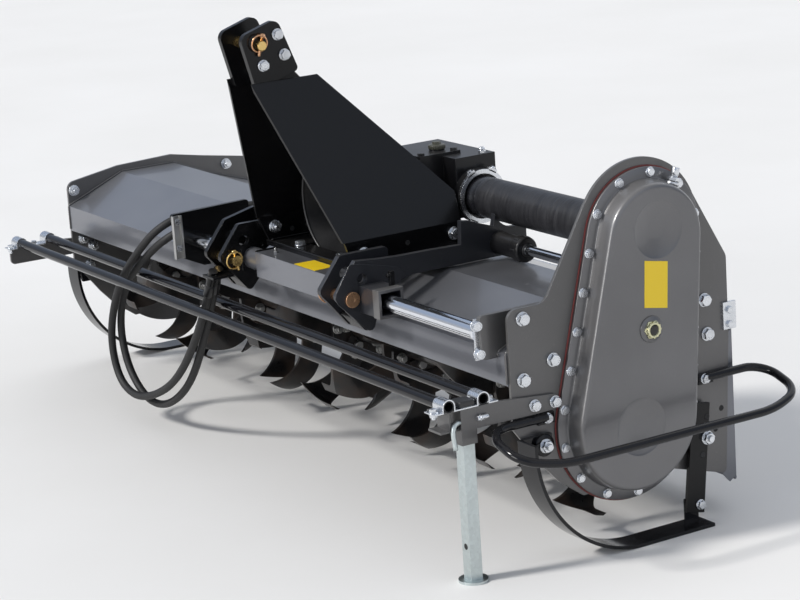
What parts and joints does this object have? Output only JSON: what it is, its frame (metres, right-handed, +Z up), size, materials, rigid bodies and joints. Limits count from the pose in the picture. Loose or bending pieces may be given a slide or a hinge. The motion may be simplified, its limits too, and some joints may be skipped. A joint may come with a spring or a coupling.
{
  "type": "rotary tiller",
  "caption": "Tractor-mounted rotary tiller with a side-shift headstock, chain side drive, hooded tine rotor, skids, guard bars and a parking leg.",
  "frame": {"origin": "on the ground straight below the rotor's axis, 280 mm from the middle of the headstock towards the open end plate", "axes": "+X along the rotor towards the chain case, +Y back from the tractor, +Z up"},
  "size_m": [2.552, 0.9185, 1.1827],
  "materials": {
    "grey_metallic": "satin metallic",
    "black_paint": "satin",
    "black_enamel": "gloss",
    "zinc": "bright zinc plate",
    "galvanised": "hot galvanised",
    "chrome_bar": "polished",
    "yellow_zinc": "yellow zinc plate",
    "cast_black": "painted casting",
    "tine_steel": "dull dark paint",
    "gasket_red": "gasket paper",
    "hose_rubber": "braid-marked rubber",
    "guard_plastic": "moulded",
    "raw_shaft": "machined, oiled"
  },
  "bodies": {
    "tiller": {"bar_bracket_far": "black_paint", "bar_bracket_near": "grey_metallic", "bar_strap_far": "zinc", "bar_strap_near": "zinc", "chain_case_cover": "grey_metallic", "chain_case_gasket": "gasket_red", "cylinder_rod": "chrome_bar", "drive_tube": "black_paint", "end_plate_far": "grey_metallic", "end_plate_near": "grey_metallic", "guard_arm_far": "grey_metallic", "guard_arm_near": "grey_metallic", "guard_hoop_far": "zinc", "guard_hoop_near": "zinc", "guard_tubes": "black_enamel", "hood": "grey_metallic", "rotor_bearing": "grey_metallic", "shield_hinge": "zinc", "side_guard": "black_enamel", "skid_far": "black_enamel", "skid_near": "black_enamel", "skid_upright_far": "black_paint", "skid_upright_near": "black_paint", "slide_bar": "chrome_bar", "stand_socket": "grey_metallic"},
    "rotor": {"rotor_shaft": "tine_steel", "tines_left": "tine_steel", "tines_right": "tine_steel"},
    "carriage": {"sleeve_beam": "grey_metallic", "gearbox_base": "black_paint", "hitch_outer_near": "black_paint", "hitch_outer_far": "black_paint", "hitch_inner_near": "black_paint", "hitch_inner_far": "black_paint", "hitch_pin_near": "yellow_zinc", "hitch_pin_far": "zinc", "mast_plate_near": "black_paint", "mast_plate_far": "black_paint", "mast_ears": "black_paint", "top_link_pin": "yellow_zinc", "gearbox": "cast_black", "tube_clamp": "zinc", "shaft_guard": "guard_plastic", "cylinder_barrel": "cast_black", "hose_outer": "hose_rubber", "hose_inner": "hose_rubber", "hose_rest": "black_paint", "sleeve_end": "black_paint"},
    "pto_shaft": {"input_shaft": "raw_shaft"},
    "rear_shield": {"rear_shield": "grey_metallic"},
    "stand_leg": {"stand_leg": "galvanised"}
  },
  "joints": [
    {"name": "rotor_spin", "type": "hinge", "parent": "tiller", "child": "rotor", "pos_m": [0, 0, 0.295], "axis": [1, 0, 0], "continuous": true},
    {"name": "side_shift", "type": "slide", "parent": "tiller", "child": "carriage", "axis": [1, 0, 0], "range_m": [-0.19, 0]},
    {"name": "input_spin", "type": "hinge", "parent": "carriage", "child": "pto_shaft", "pos_m": [0.28, -0.2, 0.702], "axis": [0, 1, 0], "continuous": true},
    {"name": "shield_swing", "type": "hinge", "parent": "tiller", "child": "rear_shield", "pos_m": [0, 0.313, 0.464], "axis": [1, 0, 0], "range_deg": [0, 65]},
    {"name": "leg_slide", "type": "slide", "parent": "tiller", "child": "stand_leg", "axis": [0, 0, 1], "range_m": [0, 0.27]}
  ],
  "couplings": [
    {"joint": "input_spin", "follows": "rotor_spin", "ratio": 2.45}
  ]
}
